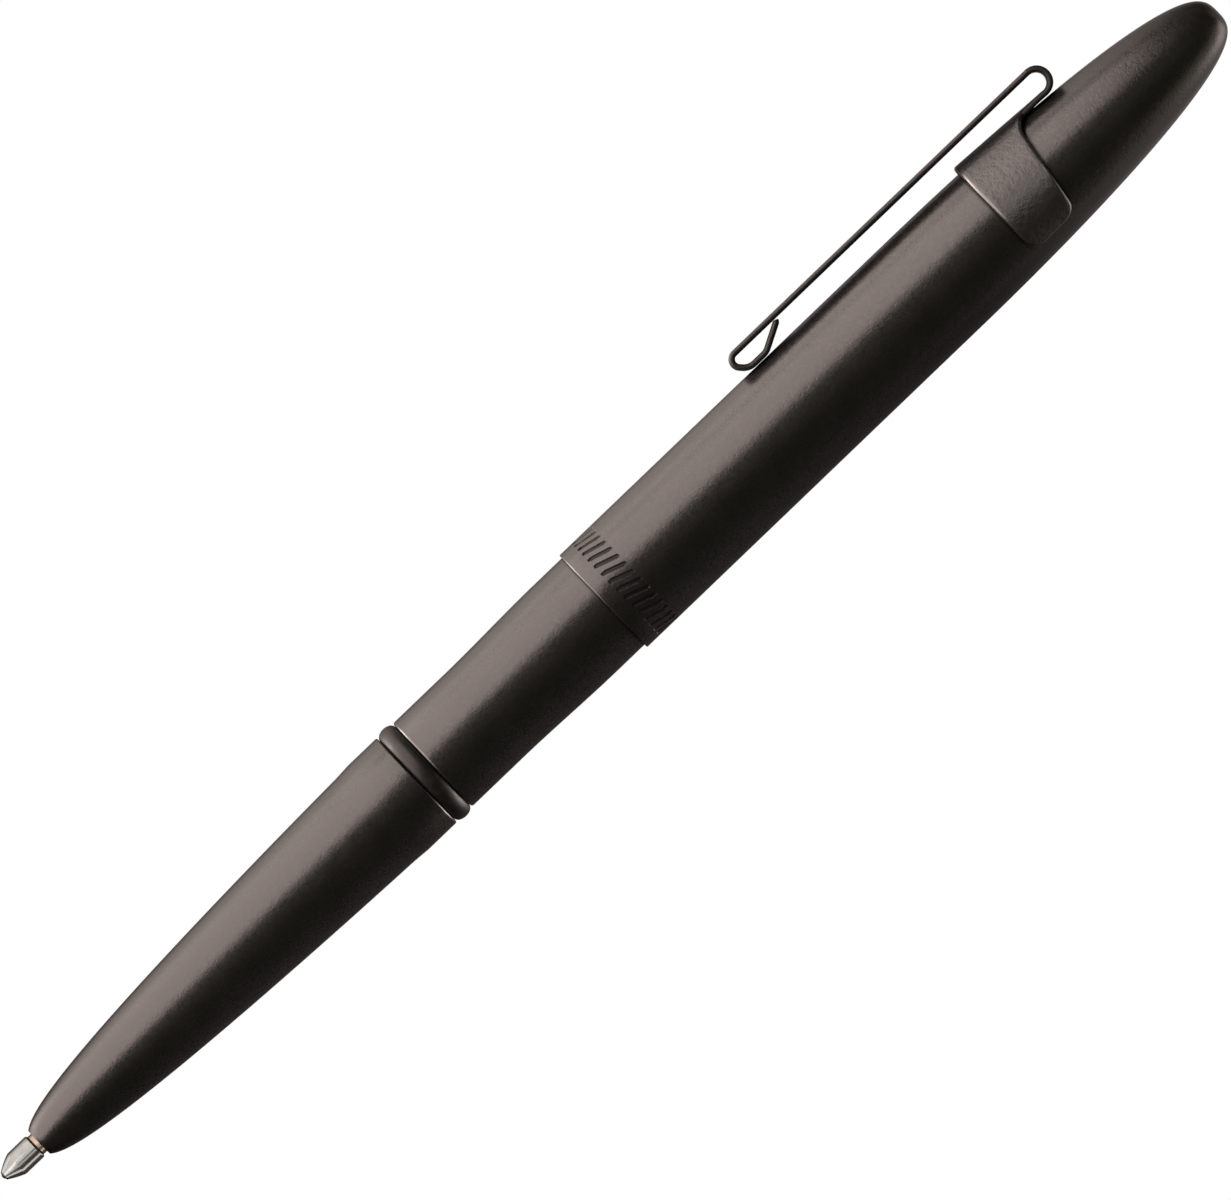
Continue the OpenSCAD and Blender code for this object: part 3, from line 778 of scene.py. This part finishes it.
def tail_spring():
    """Coil spring: round wire on a helix between its two end faces."""
    wire, turns, steps, sides = 0.18, 4, 40, 14
    coil_r = SPRING_HIGH.y - wire
    x0, x1 = SPRING_LOW.x + wire, SPRING_HIGH.x - wire
    bm = bmesh.new()
    rings = []
    for i in range(turns * steps + 1):
        a = TAU * i / steps
        x = x0 + (x1 - x0) * i / (turns * steps)
        ring = []
        for k in range(sides):
            b = TAU * k / sides
            r = coil_r + wire * math.cos(b)
            ring.append(bm.verts.new((x + wire * math.sin(b), r * math.cos(a), r * math.sin(a))))
        rings.append(ring)
    for p, q in zip(rings, rings[1:]):
        for k in range(sides):
            m = (k + 1) % sides
            bm.faces.new((p[k], q[k], q[m], p[m]))
    bm.faces.new(rings[0])
    bm.faces.new(reversed(rings[-1]))
    spring = finish_mesh("take_up_spring", bm, "barrel", ["tail_spring"],
                         [SPRING_STEEL])
    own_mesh(spring)


# ---------------------------------------------------------------- floor, light and camera

def along(angle, lean=0.0):
    """Direction angle degrees from the zenith towards +Y, leaning lean degrees towards +X."""
    a, b = math.radians(angle), math.radians(lean)
    return math.sin(b), math.cos(b) * math.sin(a), math.cos(b) * math.cos(a)


def panel(name, radiance, tint, toward, distance, width, depth, lit=()):
    """A soft rectangular light of the given radiance, seen from the pen's middle in one direction.
    With lit, it shines on those pieces alone."""
    light = bpy.data.lights.new(name, "AREA")
    light.shape = "RECTANGLE"
    light.size, light.size_y = width, depth
    light.color = tint
    light.energy = radiance * width * depth * math.pi
    lamp = bpy.data.objects.new(name, light)
    back = Vector(toward).normalized()
    lamp.location = Vector((CAP_END * MM / 2, 0, 0)) + back * distance
    lamp.rotation_mode = "QUATERNION"
    side = (Vector((1, 0, 0)) - back * back.x).normalized()
    lamp.rotation_quaternion = Matrix((side, back.cross(side), back)).transposed().to_quaternion()
    bpy.context.scene.collection.objects.link(lamp)
    if lit:
        receivers = bpy.data.collections.new(name + "_lit")
        for piece in lit:
            receivers.objects.link(piece)
        lamp.light_linking.receiver_collection = receivers


def pale_floor(z):
    """White to the camera. What it sheds on the pen is brighter on the clip's side, where a lit
    floor would show in the coat, and depends on how a ray crosses the pen."""
    half = 2.0
    bm = bmesh.new()
    bm.faces.new([bm.verts.new((x, y, z)) for x, y in
                  ((-half, -half), (half, -half), (half, half), (-half, half))])
    mesh = bpy.data.meshes.new("floor")
    bm.to_mesh(mesh)
    bm.free()
    floor = bpy.data.objects.new("floor", mesh)
    bpy.context.scene.collection.objects.link(floor)
    material = bpy.data.materials.new("floor")
    material.use_nodes = True
    tree = material.node_tree
    tree.nodes.clear()
    out = tree.nodes.new("ShaderNodeOutputMaterial")
    path = tree.nodes.new("ShaderNodeLightPath")
    seen, unseen = tree.nodes.new("ShaderNodeEmission"), tree.nodes.new("ShaderNodeEmission")
    seen.inputs["Color"].default_value = (1, 1, 1, 1)
    seen.inputs["Strength"].default_value = 1.0
    unseen.inputs["Color"].default_value = (1.0, 0.86, 0.80, 1)
    place = tree.nodes.new("ShaderNodeNewGeometry")
    at, ray = (tree.nodes.new("ShaderNodeSeparateXYZ") for _ in range(2))
    tree.links.new(place.outputs["Position"], at.inputs["Vector"])
    tree.links.new(place.outputs["Incoming"], ray.inputs["Vector"])
    at, ray = at.outputs, ray.outputs

    def level(source, kind, low, high, dark, bright):
        node = tree.nodes.new("ShaderNodeMapRange")
        node.interpolation_type = kind
        tree.links.new(source, node.inputs["Value"])
        for socket, value in zip(RANGE_SOCKETS, (low, high, dark, bright)):
            node.inputs[socket].default_value = value
        return node.outputs["Result"]

    def combine(operation, one, other):
        node = tree.nodes.new("ShaderNodeMath")
        node.operation = operation
        tree.links.new(one, node.inputs[0])
        tree.links.new(other, node.inputs[1])
        return node.outputs[0]

    clip_side = combine("MULTIPLY", level(at["Y"], "SMOOTHSTEP", 0.005, 0.012, 0.08, 1.0),
                        level(at["Y"], "LINEAR", 0.010, 0.035, 1.0, 3.0))
    clip_side = combine("MULTIPLY", clip_side, level(at["X"], "LINEAR", 0.100, 0.140, 1.0, 0.45))
    glow = combine("MAXIMUM", clip_side, level(at["X"], "SMOOTHSTEP", 0.098, 0.125, 0.08, 0.38))
    skew = combine("MULTIPLY", ray["X"], ray["Y"])
    glow = combine("MULTIPLY", glow, level(skew, "LINEAR", 0.05, 0.35, 1.0, 0.10))
    sheen = combine("MULTIPLY", level(skew, "LINEAR", -0.48, -0.22, 7.0, 0.0),
                    combine("MAXIMUM", level(at["Y"], "LINEAR", -0.004, 0.004, 0.38, 1.0),
                            level(at["X"], "LINEAR", 0.080, 0.105, 1.4, 0.38)))
    sheen = combine("MULTIPLY", sheen, level(at["X"], "LINEAR", -0.010, 0.015, 0.2, 1.0))
    glow = combine("ADD", glow, sheen)
    tree.links.new(glow, unseen.inputs["Strength"])
    mix = tree.nodes.new("ShaderNodeMixShader")
    tree.links.new(path.outputs["Is Camera Ray"], mix.inputs["Fac"])
    tree.links.new(unseen.outputs[0], mix.inputs[1])
    tree.links.new(seen.outputs[0], mix.inputs[2])
    tree.links.new(mix.outputs[0], out.inputs["Surface"])
    mesh.materials.append(material)


def world():
    """White background, with a dim fill for everything but the camera."""
    scene = bpy.context.scene
    scene.world = bpy.data.worlds.new("studio")
    scene.world.use_nodes = True
    tree = scene.world.node_tree
    background = tree.nodes["Background"]
    path = tree.nodes.new("ShaderNodeLightPath")
    level = tree.nodes.new("ShaderNodeMapRange")
    tree.links.new(path.outputs["Is Camera Ray"], level.inputs["Value"])
    level.inputs["To Min"].default_value = 0.05
    level.inputs["To Max"].default_value = 1.0
    tree.links.new(level.outputs["Result"], background.inputs["Strength"])
    tone = tree.nodes.new("ShaderNodeMix")
    tone.data_type = "RGBA"
    tree.links.new(path.outputs["Is Camera Ray"], tone.inputs["Factor"])
    tone.inputs["A"].default_value = (0.97, 1.03, 0.78, 1)
    tone.inputs["B"].default_value = (1, 1, 1, 1)
    tree.links.new(tone.outputs["Result"], background.inputs["Color"])
    scene.view_settings.view_transform = "Standard"
    scene.view_settings.look = "None"


def camera():
    """Looks straight down, with the pen's axis rising to the upper right."""
    turn = math.radians(43.8)
    width = 93.5 * MM
    lens = 800.0
    data = bpy.data.cameras.new("camera")
    data.lens, data.sensor_width = lens, 36.0
    cam = bpy.data.objects.new("camera", data)
    distance = width * lens / data.sensor_width
    cam.location = (CAP_END * MM / 2, -0.57 * MM, distance)
    cam.rotation_mode = "XYZ"
    cam.rotation_euler = (0, 0, -turn)
    data.clip_start, data.clip_end = 0.01, 10
    bpy.context.scene.collection.objects.link(cam)
    bpy.context.scene.camera = cam


front_section()
o_ring()
barrel()
cap()
saddle = clip_saddle()
clip_arm()
point = refill()
tail_spring()

panel("key", 3.4, (1.0, 0.83, 0.785), along(55, -28), 0.60, 1.22, 0.88)
panel("top", 0.08, (1.0, 0.98, 0.85), along(0), 0.90, 1.2, 0.50)
panel("rim", 0.5, (1.0, 0.84, 0.70), along(-85, 42), 0.60, 0.6, 0.40)
panel("point_top", 3.0, (1.0, 0.88, 0.84), along(7, -25), 0.40, 0.95, 0.20, point)
panel("point_low", 2.2, (1.0, 0.86, 0.80), along(-25, -25), 0.40, 0.95, 0.12, point)
panel("point_side", 3.5, (1.0, 0.88, 0.82), along(-84, -25), 0.30, 0.72, 0.13, point)
panel("saddle_top", 2.0, (1.0, 0.88, 0.84), along(8), 0.60, 1.2, 0.20, [saddle])
pale_floor(cad_box[0].z)
world()
camera()
